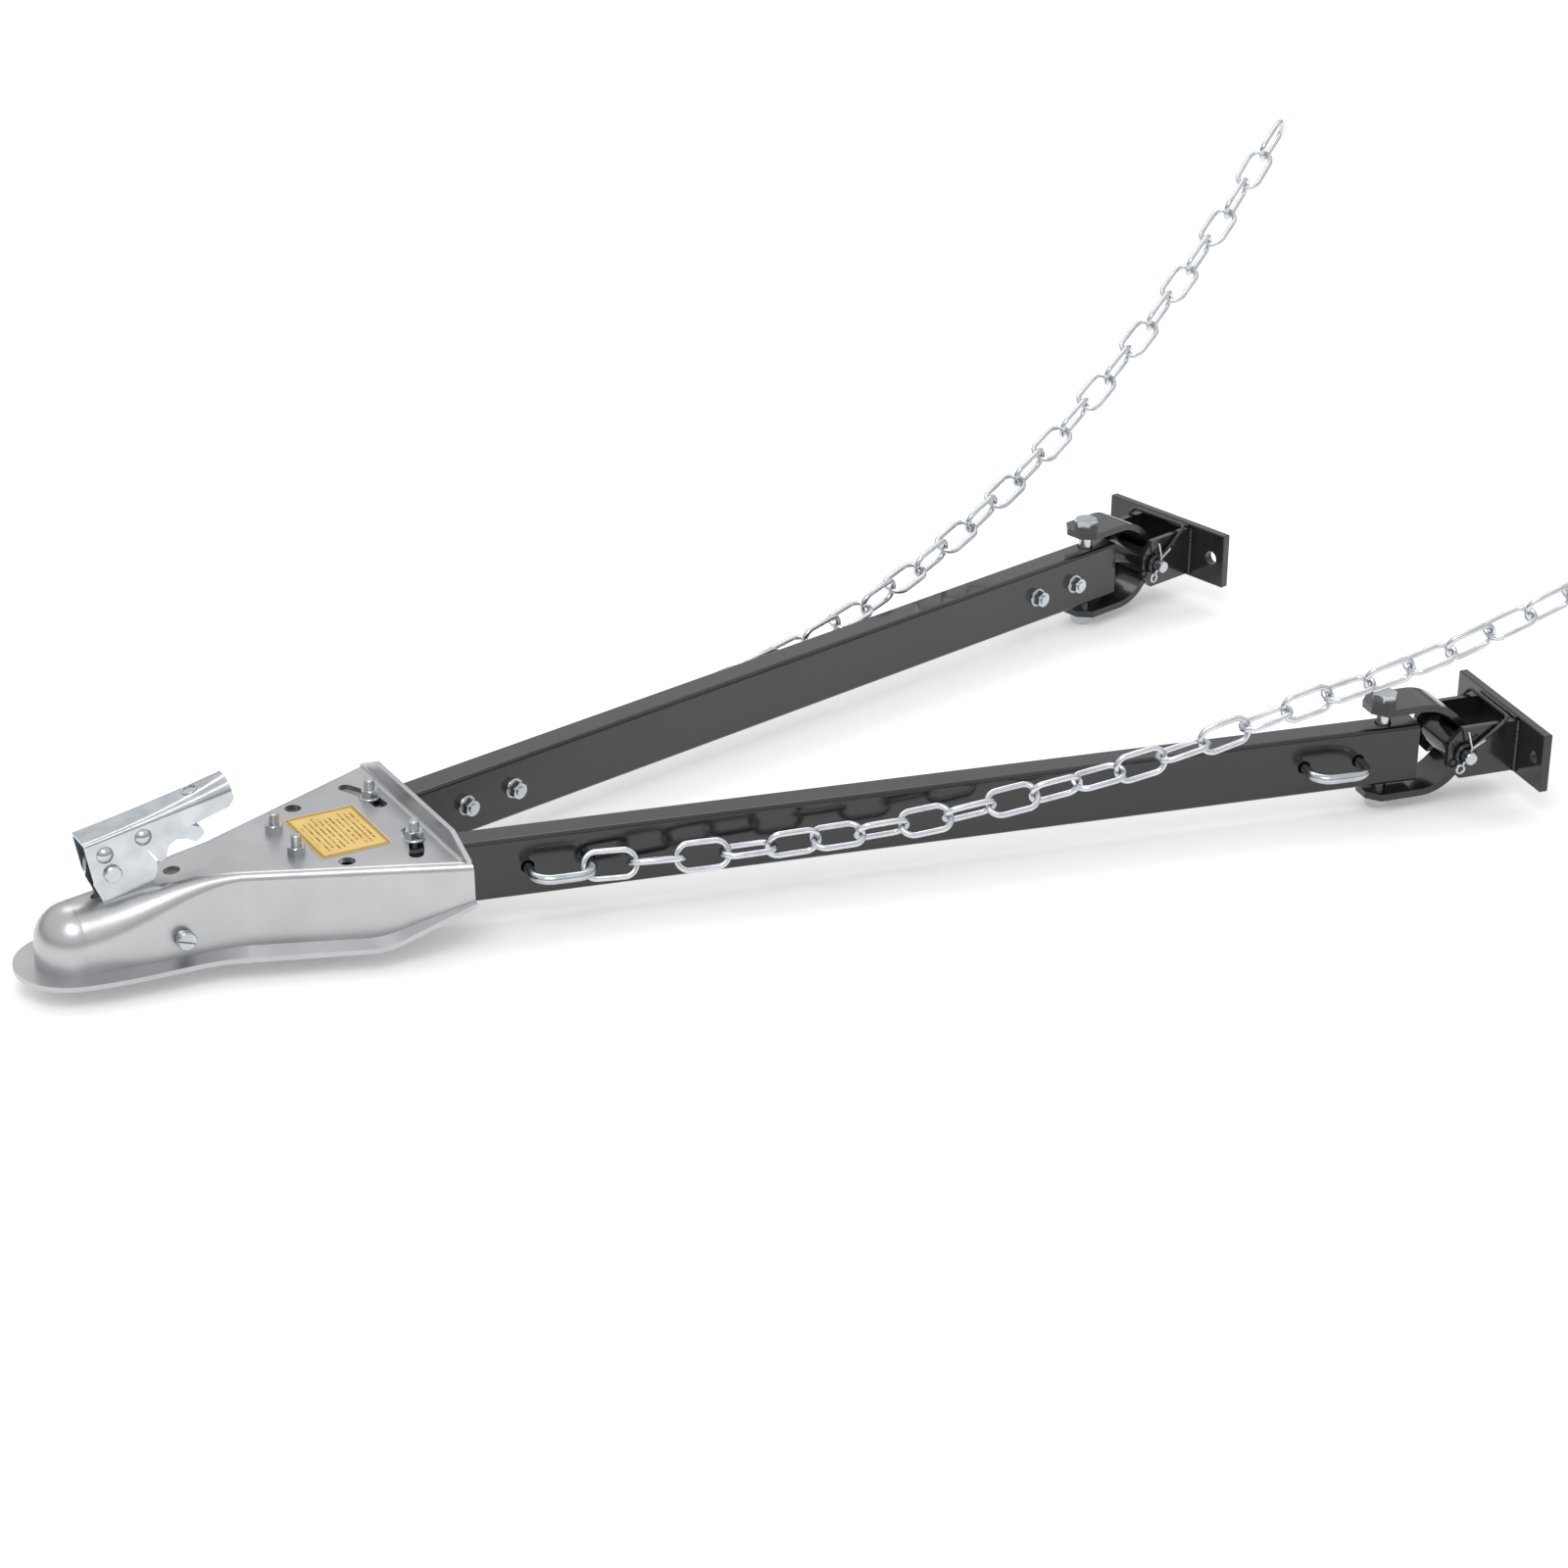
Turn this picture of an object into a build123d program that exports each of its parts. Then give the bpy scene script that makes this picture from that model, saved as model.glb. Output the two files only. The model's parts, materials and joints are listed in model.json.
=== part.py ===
from build123d import *
import os
from math import asin, atan2, cos, degrees, hypot, radians, sin

# Adjustable A-frame tow bar with a ball coupler and two safety chains.
# The origin is the centre of the tow ball in the coupler's socket. +X runs rearward to the
# towed vehicle, +Y is the left arm's side, +Z is up. Lengths are millimetres.

os.makedirs("parts", exist_ok=True)

# ---------------------------------------------------------------- coupler
BALL_D = 50.8                 # two-inch tow ball
BALL_GAP = 0.4                # play of the ball in the socket
SHEET = 4.0                   # pressed steel of the coupler
FLANGE_DROP = 20.6            # underside of the flange below the ball centre
FLANGE_W = 16.5               # flange beyond the socket wall
DECK_Z = 39.4                 # top of the flat deck over the arms
DECK_START = 122.0            # where the neck has become the deck
COUPLER_REAR = 282.0
DECK_HALF_FRONT = 34.7
DECK_HALF_REAR = 102.8
SKIRT_HALF_FRONT = 43.5
SKIRT_HALF_REAR = 106.0
DECK_FOLD_R = 6.5
SKIRT_RISE_X = 214.0          # where the skirt starts to sweep up
SKIRT_REAR_Z = 5.0
SKIRT_SWEEP_R = 60.0
LIP_H = 15.0                  # turned-up stiffening lip at the rear of the deck
LIP_HALF_TOP = 70.0
LIP_HALF_BASE = 99.0
LIP_BEND_R = 4.0
SPARE_HOLE_D = 13.0
APEX_HOLE_X = 80.0
SPARE_HOLE_X = 200.5
SPARE_HOLE_Y = 52.0
SLOT_PLAY = 3.5               # arc slots wider than the lock bolts

# ---------------------------------------------------------------- arms
TUBE_W = 25.4
TUBE_H = 50.8
TUBE_WALL = 3.0
TUBE_CORNER_R = 3.6
ARM_L = 928.0                 # pivot bolt to rear end of the tube
ARM_FRONT = 14.0              # pivot bolt to front end of the tube
ARM_SPLAY = 12.7              # each side of the centreline, as set
SPLAY_MIN = 3.7
SPLAY_MAX = 29.2
PIVOT_X = 172.4
PIVOT_HALF = 21.6
LOCK_R = 90.7                 # pivot bolt to lock bolt
BOLT_D = 8.0                  # bolts that clamp the arms to the deck
BOLT_PLAY = 0.5
BOLT_AF = 13.0
HEAD_H = 4.8
NUT_H = 7.0
THREAD_OUT = 9.0
FLANGE_D = 17.0               # flange of the flange nuts
FLANGE_T = 1.6

# ---------------------------------------------------------------- U-bolts and chains
UB_BAR = 8.0
UB_LEGS = 48.0                # spacing of the two legs
UB_OUT = 27.0                 # bow centreline beyond the tube face
UB_BEND = 15.0
UB_HOLE = 11.0
UB_NUT_H = 8.5
UB_FRONT = 200.0              # middle of the front U-bolt behind the pivot bolt
UB_REAR_GAP = 50.0            # middle of the rear U-bolt ahead of the yoke bolt
LINK_WIRE = 5.0
LINK_PITCH = 36.6             # inside length of a link
LINK_W = 26.0
LINKS = 31
LINKS_PER_NODE = 8
CHAIN_PLAY = 0.3              # gap between the wires of two links

# ---------------------------------------------------------------- yoke, bracket and pin
YOKE_BOLT_END = 28.0          # yoke bolt ahead of the rear end of the tube
YOKE_BOLT_D = 12.0
YOKE_BOLT_HOLE = 14.0
YOKE_AF = 19.0
STRAP_W = 38.0
STRAP_T = 6.0
YOKE_SLACK = 19.2             # how much wider the yoke's gap is than the tube
YOKE_LIFT = 4.0               # middle of the yoke above the middle of the tube
YOKE_BEND = 45.0              # start of the yoke's bends behind its bolt
YOKE_BEND_R = 40.0
YOKE_NOSE = 16.0              # ear beyond the bolt
PIN_BACK = 61.0               # hitch pin behind the yoke bolt
PIN_LIFT = 2.0                # hitch pin above the middle of the tube
PIN_D = 11.0
PIN_PLAY = 0.4
BUSH_OD = 24.0
CHANNEL_W = 60.0              # outside width of the bracket's channel
CHANNEL_T = 5.0
CHANNEL_H = 45.0
CHANNEL_FRONT = 15.0          # ears ahead of the pin
CHANNEL_CLIP = 12.0
PLATE_BACK = 49.0             # front face of the mounting plate behind the pin
PLATE_W = 142.0
PLATE_H = 50.8
PLATE_T = 8.0
PLATE_HOLE_D = 13.0
PLATE_HOLE_HALF = 56.0
BAIL_WIRE = 3.6
BAIL_RISE = 27.0
BAIL_BACK = 38.0
COTTER_WIRE = 2.4
PIN_HEAD = 4.0
YOKE_NUT_H = 10.0
YOKE_TURN = {"left": 0.0, "right": 3.0}     # how far each yoke stands turned inward

# ---------------------------------------------------------------- latch
LEVER_X = 29.3                # lever pivot
LEVER_Z = 53.5
LEVER_RAKE = 10.5
LEVER_HALF = 13.9
LEVER_T = 2.4
LEVER_L = 104.0
HOUSING_HALF = 11.1
HOUSING_T = 2.5
TRIGGER_HALF = 7.8
EYE_U, EYE_V = -1.7, 16.8     # draw bolt's pin in the lever's own frame
TRIG_U, TRIG_V = 29.6, 18.8   # trigger pivot in the lever's own frame
DRAW_D = 8.0
DRAW_FOOT_X = 35.0
DRAW_FOOT_Z = -17.0
CLAMP_X = 73.5                # ball clamp pivot
CLAMP_Z = -1.0
CLAMP_PIN_D = 12.0
CLAMP_HALF = 12.0
CLAMP_TOP = 4.0
CLAMP_LOW = -6.5
NUT_GAP = 4.4                 # slack under the clamp, taken up as the lever passes half way
ADJUSTER_H = 5.5
PIVOT_PIN_D = 7.0
PIVOT_PIN_INNER = 6.5         # each stub ends clear of the draw bolt
RIVET_D = 6.0
RIVET_HEAD_D = 13.5
STEM_SLOT_FRONT, STEM_SLOT_REAR = 20.3, 30.7     # ends of the draw bolt's slot in the neck
SPRING_WIRE = 1.6
SPRING_MEAN_R = 7.0
SPRING_LOW, SPRING_HIGH = 5.2, 24.5
SPRING_TURNS = 4
CROSS_HEAD_Y = -42.0          # underside of the cross pin's round head
CROSS_NUT_Y = 38.2
CROSS_NUT_H = 6.0

# ---------------------------------------------------------------- label
LABEL = (58.0, 75.0, 0.5)
LABEL_X, LABEL_Y = 214.3, -2.9

# ---------------------------------------------------------------- worked out from the sizes above

ARM_TOP = DECK_Z - SHEET
ARM_MID = ARM_TOP - TUBE_H / 2
ARM_LOW = ARM_TOP - TUBE_H
FLANGE_Z = -FLANGE_DROP
SOCKET_R = BALL_D / 2 + BALL_GAP
DOME_R = SOCKET_R + SHEET
SKIRT_LOW = FLANGE_Z - 10     # the shell is first drawn this far down, then trimmed
SLOT_W = BOLT_D + SLOT_PLAY
YOKE_BOLT = ARM_L - YOKE_BOLT_END
UB_REAR = YOKE_BOLT - UB_REAR_GAP
YOKE_BEND_X = YOKE_BOLT + YOKE_BEND
YOKE_GAP = TUBE_H + YOKE_SLACK
YOKE_MID_Z = ARM_MID + YOKE_LIFT
PIN_X = YOKE_BOLT + PIN_BACK
PIN_Z = ARM_MID + PIN_LIFT
PLATE_X = PIN_X + PLATE_BACK
NUT_TOP = CLAMP_LOW - NUT_GAP
UB_TAIL = TUBE_W / 2 + UB_NUT_H + 1.5
EAR_TOP = YOKE_MID_Z + YOKE_GAP / 2 + STRAP_T
EAR_LOW = YOKE_MID_Z - YOKE_GAP / 2 - STRAP_T
EYE_R = PIN_D / 2 + 0.4 + BAIL_WIRE / 2      # middle of the bail's eye round the pin
BAIL_Y = CHANNEL_W / 2 + 0.6 + BAIL_WIRE / 2
COTTER_Y = BAIL_Y + BAIL_WIRE / 2 + 0.5 + 1.6
PIN_TAIL = COTTER_Y + 7.0
CHAIN_START = UB_FRONT + UB_LEGS / 2 - UB_BAR / 2 - LINK_WIRE / 2 - CHAIN_PLAY

written = []


def save(name, *solids):
    """Write one node; several solids stay separate inside it."""
    solids = [s for group in solids for s in (group if isinstance(group, list) else [group])]
    shape = solids[0] if len(solids) == 1 else Compound(children=solids)
    shape.label = name
    export_step(shape, f"parts/{name}.step")
    written.append(name)


def rod(d, a, b):
    """Round bar from point a to point b."""
    a, b = Vector(*a), Vector(*b)
    line = b - a
    return Plane(origin=a, z_dir=line) * Cylinder(d / 2, line.length, align=(Align.CENTER, Align.CENTER, Align.MIN))


def hexagon(af, h, at=(0, 0, 0), direction=(0, 0, 1), chamfered=True):
    """Hexagonal prism standing on point at, with its far corners turned off."""
    plane = Plane(origin=at, z_dir=direction)
    prism = plane * extrude(RegularPolygon(af / 2, 6, major_radius=False), h)
    if not chamfered:
        return prism
    turned = Cylinder(af * 0.565, h, align=(Align.CENTER, Align.CENTER, Align.MIN))
    turned = chamfer(turned.edges().sort_by(Axis.Z)[-1], af * 0.07)
    return prism & (plane * turned)


def flange_nut(af, h, bore, at, direction):
    """Hexagon nut with its own round flange, bored for the thread."""
    plane = Plane(origin=at, z_dir=direction)
    flange = Cylinder(FLANGE_D / 2, FLANGE_T, align=(Align.CENTER, Align.CENTER, Align.MIN))
    flange = chamfer(flange.edges().sort_by(Axis.Z)[-1], 0.7)
    body = plane * flange + hexagon(af, h, at, direction)
    return body - plane * Cylinder(bore / 2, 3 * h)


def plain_nut(af, h, bore, at, direction):
    return hexagon(af, h, at, direction) - Plane(origin=at, z_dir=direction) * Cylinder(bore / 2, 3 * h)


def side_prism(points, half, fillets=()):
    """Extrude an XZ outline to both sides of the centre plane; fillets are (corner, radius)."""
    outline = make_face(Polyline(*[(x, z) for x, z in points], close=True))
    for corner, radius in fillets:
        vertex = outline.vertices().sort_by_distance((points[corner][0], points[corner][1], 0))[0]
        outline = fillet(vertex, radius)
    return Plane.XZ * extrude(outline, half, both=True)


# ================================================================ coupler body
def neck_stations():
    """x, top, half-width at the top corner, half-width at the flange, corner radius."""
    return [
        (0, DOME_R, DOME_R, DOME_R + 0.3, DOME_R - 0.6),
        (25, DOME_R + 1.2, DOME_R - 0.3, 33.0, 26.0),
        (50, DECK_Z - 5.4, 28.5, 36.0, 21.0),
        (75, DECK_Z - 2.0, 29.0, 37.5, 15.0),
        (100, DECK_Z - 0.1, 30.5, 39.5, 9.5),
        (DECK_START, DECK_Z, DECK_HALF_FRONT, SKIRT_HALF_FRONT, DECK_FOLD_R),
    ]


def section(x, top, half_top, half_flange, corner_r, inset):
    """One cross-section of the pressing, inset by the sheet for its inner face."""
    spread = (half_flange - half_top) / (top - FLANGE_Z)
    low = half_flange + spread * (FLANGE_Z - SKIRT_LOW) - inset
    high = half_top - inset
    z = top - inset
    face = make_face(Polyline((low, SKIRT_LOW), (high, z), (-high, z), (-low, SKIRT_LOW), close=True))
    corners = [v for v in face.vertices() if v.Y > 0]
    face = fillet(corners, max(corner_r - inset, 1.5))
    return Plane(origin=(x, 0, 0), x_dir=(0, 1, 0), z_dir=(1, 0, 0)) * face


def pressing(inset):
    """Solid body of the coupler: domed socket, neck and deck. Inset gives the inside."""
    radius = DOME_R - inset
    dome = Sphere(radius) + rod(2 * radius, (0, 0, SKIRT_LOW), (0, 0, 0))
    neck = loft([section(*s, inset) for s in neck_stations()])
    rear = (COUPLER_REAR, DECK_Z, DECK_HALF_REAR, SKIRT_HALF_REAR, DECK_FOLD_R)
    deck = loft([section(*neck_stations()[-1], inset), section(*rear, inset)], ruled=True)
    return dome + neck + deck


def above_skirt(lift):
    """Everything above the lower edge of the coupler, raised by lift."""
    low = FLANGE_Z + lift
    run = COUPLER_REAR - SKIRT_RISE_X
    slope = (SKIRT_REAR_Z - FLANGE_Z) / run
    far = COUPLER_REAR + 40
    points = [(-80, low), (SKIRT_RISE_X, low), (far, low + slope * (far - SKIRT_RISE_X)), (far, 120), (-80, 120)]
    return side_prism(points, 200, [(1, SKIRT_SWEEP_R)])


def flange_plan():
    """Outline of the flange seen from above."""
    nose_r = DOME_R + FLANGE_W
    nose = (-12.0, (nose_r**2 - 12.0**2) ** 0.5)
    skirt_slope = (SKIRT_HALF_REAR - SKIRT_HALF_FRONT) / (COUPLER_REAR - DECK_START)
    wide = (206.0, SKIRT_HALF_FRONT + skirt_slope * (206.0 - DECK_START) + FLANGE_W + 2.5)
    start = (104.0, wide[1] - 0.36 * (wide[0] - 104.0))
    tail = (COUPLER_REAR, SKIRT_HALF_REAR + 2.0)
    edges = [ThreePointArc((nose[0], -nose[1]), (-nose_r, 0), nose)]
    for side in (1, -1):
        flip = lambda p: (p[0], side * p[1])
        waist = Spline(flip(nose), flip((12, DOME_R + 19.8)), flip((40, DOME_R + 22.6)), flip((74, DOME_R + 24.0)),
                       flip(start), tangents=[flip((nose[1], 12)), flip((1, 0.36))])
        edges += [waist, Line(flip(start), flip(wide)), Line(flip(wide), flip(tail))]
    edges.append(Line(tail, (tail[0], -tail[1])))
    return make_face(edges)


def arc_slot(side):
    """Slot in the deck that a lock bolt follows as its arm swings."""
    play = degrees((BOLT_PLAY + 0.2) / LOCK_R)
    first, last = SPLAY_MIN - play, SPLAY_MAX + play
    point = lambda r, a: (r * cos(radians(side * a)), r * sin(radians(side * a)))
    reach = 1.5 * LOCK_R
    wedge = extrude(make_face(Polyline((0, 0), point(reach, first), point(reach, last), close=True)), 20, both=True)
    slot = (Cylinder(LOCK_R + SLOT_W / 2, 40) - Cylinder(LOCK_R - SLOT_W / 2, 40)) & wedge
    for end in (first, last):
        x, y = point(LOCK_R, end)
        slot += Pos(x, y, 0) * Cylinder(SLOT_W / 2, 40)
    return Pos(PIVOT_X, side * PIVOT_HALF, DECK_Z) * slot


def coupler_body():
    outside = pressing(0)
    inside = pressing(SHEET)
    inside += Pos(COUPLER_REAR, 0, 0) * Box(1, 2 * (DECK_HALF_REAR - SHEET - 8), 2 * (DECK_Z - SHEET - 8))
    skirt = (outside & above_skirt(0)) - inside
    band = above_skirt(0) - above_skirt(SHEET)
    flange = (Pos(0, 0, -60) * extrude(flange_plan(), 160)) & band
    body = skirt + (flange - inside)
    lip_x = COUPLER_REAR - SHEET
    lip_outline = [(-LIP_HALF_BASE, ARM_TOP), (-LIP_HALF_BASE, DECK_Z + 1.5), (-LIP_HALF_TOP, DECK_Z + LIP_H),
                   (LIP_HALF_TOP, DECK_Z + LIP_H), (LIP_HALF_BASE, DECK_Z + 1.5), (LIP_HALF_BASE, ARM_TOP)]
    lip_plane = Plane(origin=(lip_x, 0, 0), x_dir=(0, 1, 0), z_dir=(1, 0, 0))
    body += lip_plane * extrude(make_face(Polyline(*lip_outline, close=True)), SHEET)
    bend = (lip_x - LIP_BEND_R, DECK_Z + LIP_BEND_R)
    heel = Box(LIP_BEND_R, 2 * LIP_HALF_BASE - 10, LIP_BEND_R)
    heel = Pos(bend[0] + LIP_BEND_R / 2, 0, bend[1] - LIP_BEND_R / 2) * heel
    heel -= rod(2 * LIP_BEND_R, (bend[0], -200, bend[1]), (bend[0], 200, bend[1]))
    body += heel
    for x, y in ((APEX_HOLE_X, 0), (SPARE_HOLE_X, SPARE_HOLE_Y), (SPARE_HOLE_X, -SPARE_HOLE_Y)):
        body -= rod(SPARE_HOLE_D, (x, y, 20), (x, y, 60))
    for side in (1, -1):
        body -= rod(BOLT_D + BOLT_PLAY, (PIVOT_X, side * PIVOT_HALF, 20), (PIVOT_X, side * PIVOT_HALF, 60))
        body -= arc_slot(side)
    body -= rod(CLAMP_PIN_D + BOLT_PLAY, (CLAMP_X, -80, CLAMP_Z), (CLAMP_X, 80, CLAMP_Z))
    stem_slot = Pos((STEM_SLOT_FRONT + STEM_SLOT_REAR) / 2, 0, DECK_Z - 10) * Box(
        STEM_SLOT_REAR - STEM_SLOT_FRONT, DRAW_D + 1.2, 30)
    for x in (STEM_SLOT_FRONT, STEM_SLOT_REAR):
        stem_slot += rod(DRAW_D + 1.2, (x, 0, 15), (x, 0, 45))
    return body - stem_slot


save("coupler_body", coupler_body())


# ================================================================ latch
LEVER = Location((LEVER_X, 0, LEVER_Z), (0, -LEVER_RAKE, 0))


def lever_point(u, v):
    """A point of the lever's own frame in the coupler's frame."""
    c, s = cos(radians(LEVER_RAKE)), sin(radians(LEVER_RAKE))
    return (LEVER_X + u * c - v * s, 0, LEVER_Z + u * s + v * c)


def lever_section(u, crown, fold, inset):
    half = LEVER_HALF - inset
    face = make_face(Polyline((half, -30), (half, crown - inset), (-half, crown - inset), (-half, -30), close=True))
    face = fillet([v for v in face.vertices() if v.Y > 0], crown - fold - inset * 0.8)
    return Plane(origin=(u, 0, 0), x_dir=(0, 1, 0), z_dir=(1, 0, 0)) * face


def latch_lever():
    """Pressed channel, flat-topped over the pivots and rounded to a grip at its end."""
    stations = [(-15, 31.0, 27.6), (20, 31.0, 27.2), (55, 32.3, 26.2), (LEVER_L, 36.9, 24.2)]
    outer = loft([lever_section(*s, 0) for s in stations])
    inner = loft([lever_section(*s, LEVER_T) for s in stations])
    outline = [(-15, 45), (-15, -2.5), (-10.5, -9.0), (0, -11.8), (12, -12.2), (19.4, -11), (22.9, -7.3),
               (30.6, 6.1), (38, 11.2), (66.5, 12.8), (99, 15.6), (LEVER_L, 20.5), (LEVER_L, 45)]
    channel = (outer - inner) & side_prism(outline, 30, [(1, 5), (3, 6), (5, 3), (8, 8), (10, 2)])
    for u, v, d in ((0, 0, PIVOT_PIN_D), (EYE_U, EYE_V, RIVET_D), (TRIG_U, TRIG_V, RIVET_D)):
        channel -= rod(d + 0.2, (u, -30, v), (u, 30, v))
    return LEVER * channel


def latch_housing():
    """Two cheeks welded to the neck, with corner returns in front and a low wall behind."""
    cheek = [(-15, -5.9), (-13.2, -1), (-11.5, 5.5), (-6, 10), (8, 9), (24, 6), (31, 5), (35.4, -7.3),
             (34.1, -13.8), (24, -28), (-9, -28), (-11.5, -22.2)]
    solid = side_prism(cheek, HOUSING_HALF, [(3, 3), (7, 3), (8, 4)])
    hollow = Pos(10.6, 0, 0) * Box(2 * (25.6 - HOUSING_T), 2 * (HOUSING_HALF - HOUSING_T), 120)
    window = Pos(-10, 0, 0) * Box(30, 12.4, 120)
    crossing = Pos(10, 0, 22 - 11.5) * Box(120, 2 * (HOUSING_HALF - HOUSING_T), 44)
    housing = LEVER * (solid - hollow - window - crossing - rod(PIVOT_PIN_D + 0.2, (0, -30, 0), (0, 30, 0)))
    return housing - pressing(0)


def rivet(d, half, head_d, head_h, u, v, domed, inner=0.0):
    """Pin across the lever with a formed head each side, or a stub each side from y = inner."""
    shanks = [rod(d, (u, side * inner, v), (u, side * half, v)) for side in (1, -1)]
    for n, side in enumerate((1, -1)):
        plane = Plane(origin=(u, side * half, v), z_dir=(0, side, 0))
        if domed:
            ball_r = (head_d**2 / 4 + head_h**2) / (2 * head_h)
            head = Pos(0, 0, head_h - ball_r) * Sphere(ball_r)
            head &= Cylinder(head_d / 2, head_h, align=(Align.CENTER, Align.CENTER, Align.MIN))
        else:
            head = Cylinder(head_d / 2, head_h, align=(Align.CENTER, Align.CENTER, Align.MIN))
            head = chamfer(head.edges().sort_by(Axis.Z)[-1], 0.9)
        shanks[n] = LEVER * (shanks[n] + plane * head)
    return shanks if inner else shanks[0] + shanks[1]


def lever_trigger():
    """Finger trigger: folded plate hung on its rivet inside the lever."""
    outline = [(24, 24), (37, 24.5), (58, 17), (67.8, 9.9), (75.9, 4.9), (77.8, -1), (69.4, -5.4), (62.7, 0),
               (55.6, 3.2), (48.2, 0.6), (43.5, -8.6), (38.4, -10), (36.6, -5), (32, 6), (23, 13)]
    rounds = [(0, 4), (1, 4), (4, 3), (5, 3.6), (6, 3.2), (8, 4), (9, 4), (10, 2), (11, 1.6), (14, 4)]
    plate = side_prism(outline, TRIGGER_HALF, rounds)
    hollow = [(u - 0.6, v - 2.6) for u, v in outline]
    plate -= side_prism(hollow, TRIGGER_HALF - 2.4, [(0, 3), (1, 4)]) & (Pos(40, 0, 5) * Box(90, 40, 60))
    plate -= rod(RIVET_D + 0.2, (TRIG_U, -30, TRIG_V), (TRIG_U, 30, TRIG_V))
    return LEVER * plate


save("latch_housing", latch_housing())
save("latch_lever", latch_lever())
save("lever_pivot_pins", rivet(PIVOT_PIN_D, LEVER_HALF + 0.2, RIVET_HEAD_D, 3.0, 0, 0, False, PIVOT_PIN_INNER))
save("draw_bolt_rivet", rivet(RIVET_D, LEVER_HALF + 0.2, RIVET_HEAD_D, 4.2, EYE_U, EYE_V, True))
save("trigger_rivet", rivet(RIVET_D, LEVER_HALF + 0.2, RIVET_HEAD_D, 4.2, TRIG_U, TRIG_V, True))
save("lever_trigger", lever_trigger())


def draw_bolt_line():
    return lever_point(EYE_U, EYE_V), (DRAW_FOOT_X, 0, DRAW_FOOT_Z)


def draw_bolt():
    """Eye bolt that the lever lifts; it slants back past the ball to the clamp."""
    eye, foot = draw_bolt_line()
    ring = rod(RIVET_D + 7.5, (eye[0], -4.5, eye[2]), (eye[0], 4.5, eye[2]))
    return ring + rod(DRAW_D, eye, foot) - rod(RIVET_D + 0.2, (eye[0], -9, eye[2]), (eye[0], 9, eye[2]))


def on_draw_bolt(z):
    eye, foot = draw_bolt_line()
    t = (eye[2] - z) / (eye[2] - foot[2])
    return tuple(a + (b - a) * t for a, b in zip(eye, foot))


def ball_clamp():
    """Under-jaw on its cross pin, hollowed to the ball below its equator."""
    outline = [(14, -19.6), (24.8, -19.6), (25.4, CLAMP_LOW), (54, CLAMP_LOW), (66, -8.4), (CLAMP_X + 3, -10),
               (CLAMP_X + 9.5, CLAMP_Z), (CLAMP_X + 3, 8.4), (62, 7), (48, CLAMP_TOP), (14, CLAMP_TOP)]
    jaw = side_prism(outline, CLAMP_HALF, [(5, 6), (6, 6), (7, 6), (3, 4)]) - Sphere(BALL_D / 2 + 0.8)
    slot = Pos(35.5, 0, 0) * Box(9, DRAW_D + 1.4, 60)
    for x in (31.2, 40):
        slot += rod(DRAW_D + 1.4, (x, 0, -30), (x, 0, 30))
    return jaw - slot - rod(CLAMP_PIN_D + BOLT_PLAY, (CLAMP_X, -40, CLAMP_Z), (CLAMP_X, 40, CLAMP_Z))


def clamp_spring():
    """Light coil that pushes the clamp down off the ball when the lever is raised."""
    height = SPRING_HIGH - SPRING_LOW
    helix = Helix(pitch=height / SPRING_TURNS, height=height, radius=SPRING_MEAN_R)
    coil = sweep(Plane(origin=helix @ 0, z_dir=helix % 0) * Circle(SPRING_WIRE / 2), path=helix, is_frenet=True)
    base, tip = on_draw_bolt(SPRING_LOW), on_draw_bolt(SPRING_HIGH)
    return Plane(origin=base, z_dir=Vector(*tip) - Vector(*base)) * coil


def cross_pin():
    """Pin across the coupler for the clamp, with a slotted round head on the right side."""
    face = CROSS_HEAD_Y - 2.6
    pin = rod(CLAMP_PIN_D, (CLAMP_X, face + 3.6, CLAMP_Z), (CLAMP_X, CROSS_NUT_Y + CROSS_NUT_H - 0.2, CLAMP_Z))
    head = rod(CLAMP_PIN_D + 3, (CLAMP_X, face, CLAMP_Z), (CLAMP_X, face + 5.8, CLAMP_Z))
    head = fillet(head.edges().sort_by(Axis.Y)[0], 1.2)
    return pin + head - Pos(CLAMP_X, face, CLAMP_Z) * Rot(0, 20, 0) * Box(30, 3.4, 2.2)


save("draw_bolt", draw_bolt())
save("adjusting_nut", plain_nut(BOLT_AF, ADJUSTER_H, DRAW_D + 0.1, on_draw_bolt(NUT_TOP - ADJUSTER_H),
                                Vector(*on_draw_bolt(0)) - Vector(*on_draw_bolt(-10))))
save("ball_clamp", ball_clamp())
save("clamp_spring", clamp_spring())
save("clamp_cross_pin", cross_pin())
save("cross_pin_nut", plain_nut(BOLT_AF + 5, CROSS_NUT_H, CLAMP_PIN_D + 0.1,
                                (CLAMP_X, CROSS_NUT_Y, CLAMP_Z), (0, 1, 0)))

# ================================================================ deck fittings
save("rating_plate", Pos(LABEL_X, LABEL_Y, DECK_Z + LABEL[2] / 2) * Box(*LABEL))


def clamp_bolt(x, y):
    """Bolt from under an arm up through the deck."""
    shank = rod(BOLT_D, (x, y, ARM_LOW - 0.01), (x, y, DECK_Z + NUT_H + THREAD_OUT))
    shank = chamfer(shank.edges().sort_by(Axis.Z)[-1], 1.0)
    return shank + hexagon(BOLT_AF, HEAD_H, (x, y, ARM_LOW), (0, 0, -1))


front_bolts = [clamp_bolt(PIVOT_X, side * PIVOT_HALF) for side in (1, -1)]
front_nuts = [plain_nut(BOLT_AF, NUT_H, BOLT_D + 0.1, (PIVOT_X, side * PIVOT_HALF, DECK_Z), (0, 0, 1))
              for side in (1, -1)]
save("pivot_bolts", front_bolts)
save("pivot_nuts", front_nuts)


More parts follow.
